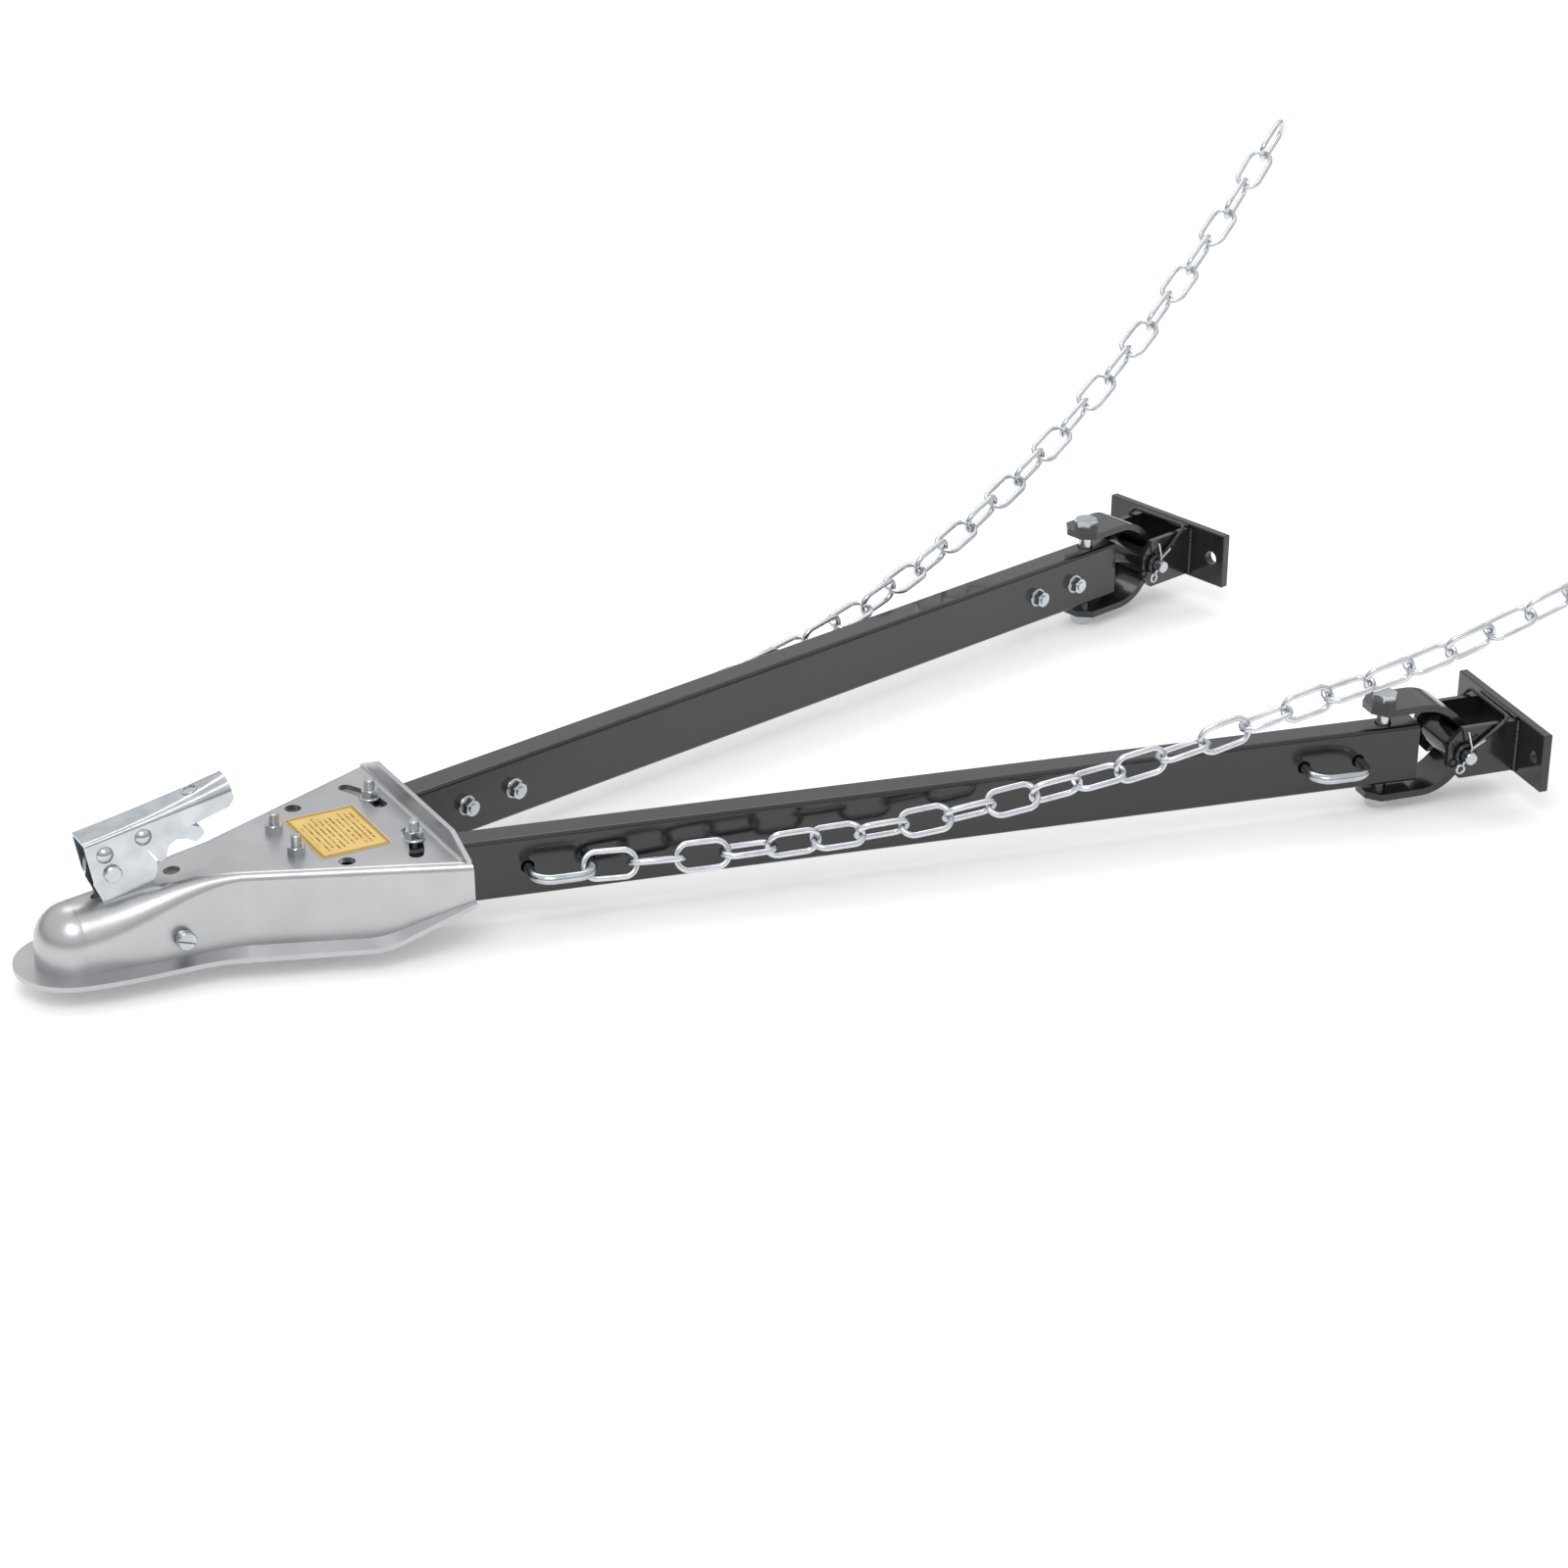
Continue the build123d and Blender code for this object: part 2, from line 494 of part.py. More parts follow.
# ================================================================ one arm, drawn along +X
# Arm frame: origin on the pivot bolt's axis, +X along the tube, +Y outward, +Z as the coupler.
def arm_tube():
    length = ARM_L + ARM_FRONT
    middle = (ARM_L - ARM_FRONT) / 2
    bar = fillet(Box(length, TUBE_W, TUBE_H).edges().filter_by(Axis.X), TUBE_CORNER_R)
    bore = fillet(Box(length + 2, TUBE_W - 2 * TUBE_WALL, TUBE_H - 2 * TUBE_WALL).edges().filter_by(Axis.X),
                  TUBE_CORNER_R - 2.4)
    tube = Pos(middle, 0, ARM_MID) * (bar - bore)
    for x in (0, LOCK_R):
        tube -= rod(BOLT_D + BOLT_PLAY, (x, 0, -60), (x, 0, 60))
    tube -= rod(YOKE_BOLT_HOLE, (YOKE_BOLT, 0, -60), (YOKE_BOLT, 0, 60))
    for middle_x in (UB_FRONT, UB_REAR):
        for leg in (-1, 1):
            x = middle_x + leg * UB_LEGS / 2
            tube -= rod(UB_HOLE, (x, -40, ARM_MID), (x, 40, ARM_MID))
    return tube


def u_bolt(x):
    """Round bar bent to a U, its bow outside the arm and its legs through it."""
    out = TUBE_W / 2 + UB_OUT
    a, b = x - UB_LEGS / 2, x + UB_LEGS / 2
    route = FilletPolyline((a, -UB_TAIL, ARM_MID), (a, out, ARM_MID), (b, out, ARM_MID), (b, -UB_TAIL, ARM_MID),
                           radius=UB_BEND)
    return sweep(Plane(origin=route @ 0, z_dir=route % 0) * Circle(UB_BAR / 2), path=route)


def yoke_strap():
    """Flat bar bent round the cross bush, with an ear above and below the tube."""
    mid_r = BUSH_OD / 2 + STRAP_T / 2
    tip = YOKE_BOLT - YOKE_NOSE
    half = YOKE_GAP / 2 + STRAP_T / 2
    legs = {}
    for side in (1, -1):
        corner = (YOKE_BEND_X, YOKE_MID_Z + side * half)
        dx, dz = PIN_X - corner[0], side * (corner[1] - PIN_Z)
        reach = hypot(dx, dz)
        slope = atan2(dz, dx) - asin(mid_r / reach)
        touch = (PIN_X + mid_r * sin(slope), PIN_Z + side * mid_r * cos(slope))
        legs[side] = ((tip, corner[1]), corner, touch)
    strap = offset_outline(legs[1]) + offset_outline(legs[-1])
    ring = rod(2 * mid_r + STRAP_T, (PIN_X, -STRAP_W / 2, PIN_Z), (PIN_X, STRAP_W / 2, PIN_Z))
    ring -= rod(2 * mid_r - STRAP_T, (PIN_X, -STRAP_W, PIN_Z), (PIN_X, STRAP_W, PIN_Z))
    beyond = [(PIN_X + (legs[side][2][0] - PIN_X) * 3, PIN_Z + (legs[side][2][1] - PIN_Z) * 3) for side in (1, -1)]
    ring -= side_prism([(PIN_X, PIN_Z), beyond[0], (PIN_X - 60, PIN_Z + 120), (PIN_X - 60, PIN_Z - 120),
                        beyond[1]], STRAP_W)
    strap += ring
    nose = extrude(make_face(Polyline((tip, -8), (tip, 8), (tip + 10, 19.2), (tip + 200, 19.2), (tip + 200, -19.2),
                                      (tip + 10, -19.2), close=True)), 200, both=True)
    return (strap & nose) - rod(YOKE_BOLT_D + BOLT_PLAY, (YOKE_BOLT, 0, -90), (YOKE_BOLT, 0, 90))


def offset_outline(points):
    """One leg of the strap: strap thickness along a path with one bend, strap width across."""
    strip = trace(FilletPolyline(*points, radius=YOKE_BEND_R), line_width=STRAP_T)
    return Plane.XZ * extrude(strip, STRAP_W / 2, both=True)


def yoke_bush():
    length = CHANNEL_W - 2 * CHANNEL_T - 1.0
    outer = rod(BUSH_OD, (PIN_X, -length / 2, PIN_Z), (PIN_X, length / 2, PIN_Z))
    return outer - rod(PIN_D + PIN_PLAY, (PIN_X, -length, PIN_Z), (PIN_X, length, PIN_Z))


def yoke_bolt():
    shank = rod(YOKE_BOLT_D, (YOKE_BOLT, 0, EAR_LOW - YOKE_NUT_H - 1.5), (YOKE_BOLT, 0, EAR_TOP + 0.01))
    return shank + hexagon(YOKE_AF, 8.0, (YOKE_BOLT, 0, EAR_TOP), (0, 0, 1))


def bracket_channel():
    """Channel whose cheeks carry the pin, its web against the mounting plate."""
    front, rear = PIN_X - CHANNEL_FRONT, PLATE_X
    top, low = PIN_Z + CHANNEL_H / 2, PIN_Z - CHANNEL_H / 2
    clip = CHANNEL_CLIP
    outline = [(front, low + clip), (front, top - clip), (front + clip, top), (rear, top), (rear, low),
               (front + clip, low)]
    solid = side_prism(outline, CHANNEL_W / 2, [(0, 3), (1, 3), (2, 3), (5, 3)])
    solid -= Pos((front + rear) / 2 - CHANNEL_T, 0, PIN_Z) * Box(rear - front, CHANNEL_W - 2 * CHANNEL_T, 200)
    return solid - rod(PIN_D + PIN_PLAY, (PIN_X, -60, PIN_Z), (PIN_X, 60, PIN_Z))


def mounting_plate():
    plate = Pos(PLATE_X + PLATE_T / 2, 0, PIN_Z) * Box(PLATE_T, PLATE_W, PLATE_H)
    plate = chamfer(plate.edges(), 0.8)
    for side in (1, -1):
        y = side * PLATE_HOLE_HALF
        plate -= rod(PLATE_HOLE_D, (PLATE_X - 5, y, PIN_Z), (PLATE_X + 20, y, PIN_Z))
    return plate


def hitch_pin(tail):
    """Headed pin; tail is the side (+1 outward, -1 inward) of its cotter hole."""
    head_y = BAIL_Y + BAIL_WIRE / 2 + 0.4
    pin = rod(PIN_D, (PIN_X, -tail * (head_y + 1), PIN_Z), (PIN_X, tail * PIN_TAIL, PIN_Z))
    ends = pin.edges().sort_by(Axis.Y)
    pin = chamfer(ends[-1] if tail > 0 else ends[0], 0.8)
    pin += rod(PIN_D + 6, (PIN_X, -tail * head_y, PIN_Z), (PIN_X, -tail * (head_y + PIN_HEAD), PIN_Z))
    y = tail * COTTER_Y
    return pin - rod(COTTER_WIRE + 0.5, (PIN_X - 9, y, PIN_Z - 16), (PIN_X + 9, y, PIN_Z + 16))


def cotter_pin(tail):
    """Split pin with its eye below the hitch pin and its two legs spread above."""
    y = tail * COTTER_Y
    lean = Vector(9, 0, 16).normalized()
    across = Vector(lean.Z, 0, -lean.X)
    at = lambda along, side: Vector(PIN_X, y, PIN_Z) + lean * along + across * side
    shank = rod(COTTER_WIRE, tuple(at(-9, 0)), tuple(at(7.2, 0)))
    eye = Plane(origin=at(-12.4, 0), z_dir=(0, 1, 0)) * Torus(3.4, COTTER_WIRE / 2)
    legs = rod(COTTER_WIRE * 0.8, tuple(at(7.0, 0)), tuple(at(18, -11))) + rod(
        COTTER_WIRE * 0.8, tuple(at(7.0, 0)), tuple(at(18, 7)))
    return shank + eye + legs


def pin_bail():
    """Wire bail: an eye round each end of the pin and a bar across by the plate."""
    corner = (PIN_X + BAIL_BACK, PIN_Z + BAIL_RISE)
    length = hypot(BAIL_BACK, BAIL_RISE)
    start = (PIN_X + BAIL_BACK / length * EYE_R, PIN_Z + BAIL_RISE / length * EYE_R)
    route = FilletPolyline((start[0], -BAIL_Y, start[1]), (corner[0], -BAIL_Y, corner[1]),
                           (corner[0], BAIL_Y, corner[1]), (start[0], BAIL_Y, start[1]), radius=6)
    wire = sweep(Plane(origin=route @ 0, z_dir=route % 0) * Circle(BAIL_WIRE / 2), path=route)
    for side in (1, -1):
        wire += Plane(origin=(PIN_X, side * BAIL_Y, PIN_Z), z_dir=(0, 1, 0)) * Torus(EYE_R, BAIL_WIRE / 2)
    return wire


# ---------------------------------------------------------------- chains
# Each route runs from the U-bolt: distance behind the pivot bolt, distance out, height.
CHAIN_ROUTE = {
    "right": [(CHAIN_START, 24, ARM_MID), (300, 33, 11), (406, 36, 14), (483, 36, 17), (556, 37, 26),
              (665, 38, 43), (737, 39, 60), (806, 40, 80), (880, 40, 97), (950, 40, 118), (1035, 40, 150),
              (1130, 40, 191), (1330, 40, 292)],
    "left": [(CHAIN_START, 24, ARM_MID), (330, 28, 8), (440, 29, 10), (540, 30, 17), (639, 31, 32),
             (709, 37, 46), (777, 43, 65), (844, 50, 89), (910, 57, 116), (973, 64, 148), (1035, 71, 183),
             (1095, 79, 220), (1154, 87, 260), (1211, 96, 301), (1270, 105, 345)],
}
# Twist of the links about the line of the chain: (link, degrees).
CHAIN_TWIST = {
    "right": [(0, 25), (2, 22), (4, -12), (6, -38), (9, -42), (12, 6), (15, 6), (18, -14), (30, -22)],
    "left": [(0, 16), (10, 12), (20, 20), (30, 14)],
}


def link_solid(start, end, width_dir):
    """One oval link whose two bows are centred on the wire at start and end."""
    along = (end - start).normalized()
    across = (width_dir - along * width_dir.dot(along)).normalized()
    bow = (LINK_W - LINK_WIRE) / 2
    middle = (start + end) / 2
    half = (end - start).length / 2 - bow
    plane = Plane(origin=middle, x_dir=along, z_dir=along.cross(across))
    route = SlotCenterToCenter(2 * half, 2 * bow).face().outer_wire()
    ring = sweep(Plane(origin=route @ 0, z_dir=route % 0) * Circle(LINK_WIRE / 2), path=route)
    return plane * ring


def twist(side, link):
    """Twist of one link, between the twists that are set."""
    marks = CHAIN_TWIST[side]
    for (n0, t0), (n1, t1) in zip(marks, marks[1:]):
        if n0 <= link <= n1:
            return t0 + (t1 - t0) * (link - n0) / (n1 - n0)
    return marks[-1][1]


def chain_links(side):
    """Links laid along the route, each turned a quarter from the last."""
    route = Spline(*CHAIN_ROUTE[side], tangents=[(1, 0.1, 0), (1, 0.1, 0.6)])
    total = route.length
    bow_span = LINK_PITCH + LINK_WIRE            # wire centre to wire centre of one link
    step = LINK_PITCH - CHAIN_PLAY
    links = []
    start = route @ 0
    for n in range(LINKS):
        direction = (route @ ((n * step + bow_span) / total) - start).normalized()
        end = start + direction * bow_span
        level = direction.cross(Vector(0, 0, 1)).normalized()      # pointing in towards the arm
        upright = level.cross(direction)
        turn = radians(twist(side, n) + 90 * (n % 2))
        links.append(link_solid(start, end, upright * cos(turn) + level * sin(turn)))
        start += direction * step
    return links


# ================================================================ both sides
def place(side, solid, turned=False):
    """Put an arm-frame solid on its side; turned solids also follow the yoke's set angle."""
    if turned:
        hinge = Location((YOKE_BOLT, 0, 0))
        solid = hinge * Rot(0, 0, -YOKE_TURN[side]) * hinge.inverse() * solid
    if side == "right":
        solid = mirror(solid, about=Plane.XZ)
    sign = 1 if side == "left" else -1
    return Location((PIVOT_X, sign * PIVOT_HALF, 0), (0, 0, sign * ARM_SPLAY)) * solid


for side in ("right", "left"):
    tail = 1 if side == "right" else -1
    save(f"{side}_arm_tube", place(side, arm_tube()))
    save(f"{side}_u_bolts", [place(side, u_bolt(x)) for x in (UB_FRONT, UB_REAR)])
    save(f"{side}_u_bolt_nuts", [
        place(side, flange_nut(BOLT_AF, UB_NUT_H, UB_BAR + 0.1,
                               (x + leg * UB_LEGS / 2, -TUBE_W / 2, ARM_MID), (0, -1, 0)))
        for x in (UB_FRONT, UB_REAR) for leg in (-1, 1)])
    save(f"{side}_lock_bolt", place(side, clamp_bolt(LOCK_R, 0)))
    save(f"{side}_lock_nut", place(side, flange_nut(BOLT_AF, NUT_H + 1, BOLT_D + 0.1,
                                                    (LOCK_R, 0, DECK_Z), (0, 0, 1))))
    save(f"{side}_yoke_strap", place(side, yoke_strap(), True))
    save(f"{side}_yoke_bush", place(side, yoke_bush(), True))
    save(f"{side}_yoke_bolt", place(side, yoke_bolt()))
    save(f"{side}_yoke_nut", place(side, plain_nut(YOKE_AF, YOKE_NUT_H, YOKE_BOLT_D + 0.1, (YOKE_BOLT, 0, EAR_LOW),
                                                   (0, 0, -1))))
    save(f"{side}_bracket_channel", place(side, bracket_channel(), True))
    save(f"{side}_mounting_plate", place(side, mounting_plate(), True))
    save(f"{side}_hitch_pin", place(side, hitch_pin(tail), True))
    save(f"{side}_cotter_pin", place(side, cotter_pin(tail), True))
    save(f"{side}_pin_bail", place(side, pin_bail(), True))
    links = [place(side, link) for link in chain_links(side)]
    for n in range(0, LINKS, LINKS_PER_NODE):
        save(f"{side}_chain_{n // LINKS_PER_NODE + 1}", links[n:n + LINKS_PER_NODE])

print(len(written), "nodes")
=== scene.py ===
import json
from math import cos, pi, radians, sin

import bpy
import numpy as np
from mathutils import Matrix, Vector


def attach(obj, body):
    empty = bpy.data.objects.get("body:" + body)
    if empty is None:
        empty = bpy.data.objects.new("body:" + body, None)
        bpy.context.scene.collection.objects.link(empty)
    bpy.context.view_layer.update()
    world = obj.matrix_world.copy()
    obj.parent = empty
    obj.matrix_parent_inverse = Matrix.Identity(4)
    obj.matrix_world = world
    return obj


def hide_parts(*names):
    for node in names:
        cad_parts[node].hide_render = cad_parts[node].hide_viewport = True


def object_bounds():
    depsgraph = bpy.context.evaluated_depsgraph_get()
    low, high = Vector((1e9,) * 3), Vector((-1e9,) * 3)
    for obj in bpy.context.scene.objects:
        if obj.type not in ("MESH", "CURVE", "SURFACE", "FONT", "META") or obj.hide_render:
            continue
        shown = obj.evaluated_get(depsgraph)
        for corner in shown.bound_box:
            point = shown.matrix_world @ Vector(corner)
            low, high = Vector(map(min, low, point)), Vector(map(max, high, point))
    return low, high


# An adjustable A-frame tow bar: silver pressed coupler, two black arms, zinc fasteners, chains.
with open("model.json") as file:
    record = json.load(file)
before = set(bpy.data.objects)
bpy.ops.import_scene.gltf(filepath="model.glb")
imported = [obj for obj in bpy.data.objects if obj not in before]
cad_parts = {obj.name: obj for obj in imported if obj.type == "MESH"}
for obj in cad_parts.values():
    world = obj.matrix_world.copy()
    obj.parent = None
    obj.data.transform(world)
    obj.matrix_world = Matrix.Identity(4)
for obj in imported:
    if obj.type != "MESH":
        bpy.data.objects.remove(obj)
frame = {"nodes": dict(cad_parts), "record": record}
cad_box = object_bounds()
nodes = frame["nodes"]
SIDES = ("right", "left")
MM = 0.001

# ---------------------------------------------------------------- sizes shared with the model, mm
PIVOT_X, PIVOT_HALF, ARM_SPLAY = 172.4, 21.6, 12.7
DECK_Z, ARM_MID = 39.4, 10.0
LOCK_R = 90.7
BOLT_R, NUT_THREAD_Z = 4.0, DECK_Z + 7.5
THREAD_DEPTH, THREAD_WIRE = 0.30, 0.45
YOKE_BOLT, YOKE_BOLT_R, YOKE_THREAD_Z = 900.0, 6.0, -37.3
U_BOLT_LEGS, U_BOLT_NUT_TOP = (176.0, 224.0, 826.0, 874.0), -19.8
PIN_Z = 12.0
PLATE_X, CHANNEL_HALF, CHANNEL_HALF_H = 1010.0, 30.0, 22.5
YOKE_TURN = {"left": 0.0, "right": 3.0}
LABEL_MID, LABEL_SIZE = (214.3, -2.9), (58.0, 75.0)
LEVER_X, LEVER_Z, LEVER_RAKE = 29.3, 53.5, 10.5
EMBOSS_AT, EMBOSS_SLOPE, EMBOSS_R = (76.0, 34.3), 5.4, 5.6
LINK_WIRE, LINK_W, LINK_SPAN = 5.0, 26.0, 41.6
CHAIN_RUNS = range(1, 5)


def arm_point(side, along, out, z, turned=False):
    """A point given along and out from an arm's pivot bolt, in metres in the shared frame."""
    if turned:
        turn = radians(-YOKE_TURN[side])
        dx, dy = along - YOKE_BOLT, out
        along, out = YOKE_BOLT + dx * cos(turn) - dy * sin(turn), dx * sin(turn) + dy * cos(turn)
    sign = 1 if side == "left" else -1
    splay = radians(ARM_SPLAY)
    x = PIVOT_X + along * cos(splay) - out * sin(splay)
    y = sign * (PIVOT_HALF + along * sin(splay) + out * cos(splay))
    return Vector((x, y, z)) * MM


# ================================================================ node helpers
class Shader:
    """A node material with its Principled shader, for wiring by name."""

    def __init__(self, name):
        self.material = bpy.data.materials.new(name)
        self.material.use_nodes = True
        self.tree = self.material.node_tree
        self.shader = self.tree.nodes["Principled BSDF"]

    def node(self, kind, **settings):
        made = self.tree.nodes.new(kind)
        for key, value in settings.items():
            setattr(made, key, value)
        return made

    def link(self, source, target):
        self.tree.links.new(source, target)

    def group(self, tree, **values):
        made = self.node("ShaderNodeGroup", node_tree=tree)
        for key, value in values.items():
            made.inputs[key.replace("_", " ")].default_value = value
        return made

    def ramp(self, source, low, high, at=(0.3, 0.7)):
        ramp = self.node("ShaderNodeValToRGB")
        ramp.color_ramp.elements[0].color = (*low, 1)
        ramp.color_ramp.elements[1].color = (*high, 1)
        ramp.color_ramp.elements[0].position, ramp.color_ramp.elements[1].position = at
        self.link(source, ramp.inputs["Fac"])
        return ramp.outputs["Color"]

    def spread(self, source, low, high):
        span = self.node("ShaderNodeMapRange")
        span.inputs["To Min"].default_value = low
        span.inputs["To Max"].default_value = high
        self.link(source, span.inputs["Value"])
        return span.outputs["Result"]

    def bump(self, height, strength, distance):
        bump = self.node("ShaderNodeBump")
        bump.inputs["Strength"].default_value = strength
        bump.inputs["Distance"].default_value = distance
        self.link(height, bump.inputs["Height"])
        self.link(bump.outputs["Normal"], self.shader.inputs["Normal"])

    def put(self, **values):
        for key, value in values.items():
            self.shader.inputs[key.replace("_", " ")].default_value = value


def new_group(name, inputs, outputs):
    tree = bpy.data.node_groups.new(name, "ShaderNodeTree")
    for label, value in inputs:
        socket = tree.interface.new_socket(label, in_out="INPUT", socket_type="NodeSocketFloat")
        socket.default_value = value
    for label in outputs:
        tree.interface.new_socket(label, in_out="OUTPUT", socket_type="NodeSocketFloat")
    return tree, tree.nodes.new("NodeGroupInput"), tree.nodes.new("NodeGroupOutput")


def finish_texture():
    """Fine grain, broad clouding and specks, from the object's own coordinates."""
    tree, given, out = new_group(
        "finish_texture",
        [("Grain Scale", 900.0), ("Cloud Scale", 18.0), ("Speck Scale", 300.0)],
        ["Grain", "Cloud", "Specks"])
    place = tree.nodes.new("ShaderNodeTexCoord").outputs["Object"]
    for label, scale, detail in (("Grain", "Grain Scale", 3.0), ("Cloud", "Cloud Scale", 4.0)):
        noise = tree.nodes.new("ShaderNodeTexNoise")
        noise.inputs["Detail"].default_value = detail
        tree.links.new(place, noise.inputs["Vector"])
        tree.links.new(given.outputs[scale], noise.inputs["Scale"])
        tree.links.new(noise.outputs["Fac"], out.inputs[label])
    cells = tree.nodes.new("ShaderNodeTexVoronoi")
    tree.links.new(place, cells.inputs["Vector"])
    tree.links.new(given.outputs["Speck Scale"], cells.inputs["Scale"])
    tree.links.new(cells.outputs["Distance"], out.inputs["Specks"])
    return tree


def draw_lines():
    """Faint lines left by rolling or drawing the metal, running along one axis."""
    tree, given, out = new_group(
        "draw_lines", [("Across X", 20.0), ("Across Y", 400.0), ("Across Z", 400.0)], ["Lines"])
    place = tree.nodes.new("ShaderNodeTexCoord").outputs["Object"]
    scale = tree.nodes.new("ShaderNodeCombineXYZ")
    for axis in "XYZ":
        tree.links.new(given.outputs[f"Across {axis}"], scale.inputs[axis])
    stretch = tree.nodes.new("ShaderNodeVectorMath")
    stretch.operation = "MULTIPLY"
    tree.links.new(place, stretch.inputs[0])
    tree.links.new(scale.outputs["Vector"], stretch.inputs[1])
    noise = tree.nodes.new("ShaderNodeTexNoise")
    noise.inputs["Scale"].default_value = 1.0
    noise.inputs["Detail"].default_value = 2.0
    tree.links.new(stretch.outputs["Vector"], noise.inputs["Vector"])
    tree.links.new(noise.outputs["Fac"], out.inputs["Lines"])
    return tree


FINISH = finish_texture()
LINES = draw_lines()


# ================================================================ finishes
def silver_paint():
    """Satin silver paint over pressed steel, with the faint clouding of a sprayed coat."""
    m = Shader("silver_paint")
    texture = m.group(FINISH, Grain_Scale=1400.0, Cloud_Scale=22.0, Speck_Scale=900.0)
    coat = m.ramp(texture.outputs["Cloud"], (0.46, 0.465, 0.475), (0.53, 0.535, 0.545))
    m.link(coat, m.shader.inputs["Base Color"])
    m.link(m.spread(texture.outputs["Cloud"], 0.27, 0.36), m.shader.inputs["Roughness"])
    m.bump(texture.outputs["Grain"], 0.05, 0.0002)
    m.put(Metallic=0.85)
    return m.material


def black_powder_coat():
    """Gloss black powder coat with a slight orange-peel surface."""
    m = Shader("black_powder_coat")
    texture = m.group(FINISH, Grain_Scale=260.0, Cloud_Scale=9.0, Speck_Scale=500.0)
    coat = m.ramp(texture.outputs["Cloud"], (0.010, 0.010, 0.011), (0.016, 0.015, 0.016))
    m.link(coat, m.shader.inputs["Base Color"])
    m.link(m.spread(texture.outputs["Cloud"], 0.13, 0.22), m.shader.inputs["Roughness"])
    m.bump(texture.outputs["Grain"], 0.05, 0.0004)
    m.put(Specular_IOR_Level=0.5, Coat_Weight=0.35, Coat_Roughness=0.06)
    return m.material


def bright_zinc(name, low, high, rough, lines=True):
    """Bright zinc plate: faint bluish clouding, drawing lines and a fine crystalline grain."""
    m = Shader(name)
    texture = m.group(FINISH, Grain_Scale=1500.0, Cloud_Scale=60.0, Speck_Scale=700.0)
    m.link(m.ramp(texture.outputs["Cloud"], low, high), m.shader.inputs["Base Color"])
    m.link(m.spread(texture.outputs["Cloud"], rough[0], rough[1]), m.shader.inputs["Roughness"])
    height = texture.outputs["Grain"]
    if lines:
        height = m.group(LINES, Across_X=60.0, Across_Y=900.0, Across_Z=900.0).outputs["Lines"]
    m.bump(height, 0.06, 0.0002)
    m.put(Metallic=1.0)
    return m.material


def plain_steel():
    """Uncoated steel of the clamp inside the coupler, a little dulled by oil."""
    m = Shader("plain_steel")
    texture = m.group(FINISH, Grain_Scale=800.0, Cloud_Scale=70.0, Speck_Scale=400.0)
    coat = m.ramp(texture.outputs["Cloud"], (0.16, 0.155, 0.15), (0.34, 0.33, 0.32))
    m.link(coat, m.shader.inputs["Base Color"])
    m.link(m.spread(texture.outputs["Specks"], 0.35, 0.55), m.shader.inputs["Roughness"])
    m.bump(texture.outputs["Grain"], 0.2, 0.0003)
    m.put(Metallic=1.0)
    return m.material


def threaded_zinc():
    """Zinc plate on threads, a touch duller in the grooves."""
    return bright_zinc("threaded_zinc", (0.42, 0.43, 0.45), (0.60, 0.62, 0.64), (0.22, 0.34), lines=False)


def weld_metal():
    """Weld bead under the same black coat, rippled by its passes."""
    m = Shader("coated_weld")
    texture = m.group(FINISH, Grain_Scale=420.0, Cloud_Scale=40.0, Speck_Scale=350.0)
    coat = m.ramp(texture.outputs["Cloud"], (0.010, 0.010, 0.010), (0.020, 0.019, 0.019))
    m.link(coat, m.shader.inputs["Base Color"])
    m.link(m.spread(texture.outputs["Grain"], 0.16, 0.34), m.shader.inputs["Roughness"])
    m.bump(texture.outputs["Specks"], 0.35, 0.0006)
    m.put(Coat_Weight=0.3, Coat_Roughness=0.1)
    return m.material


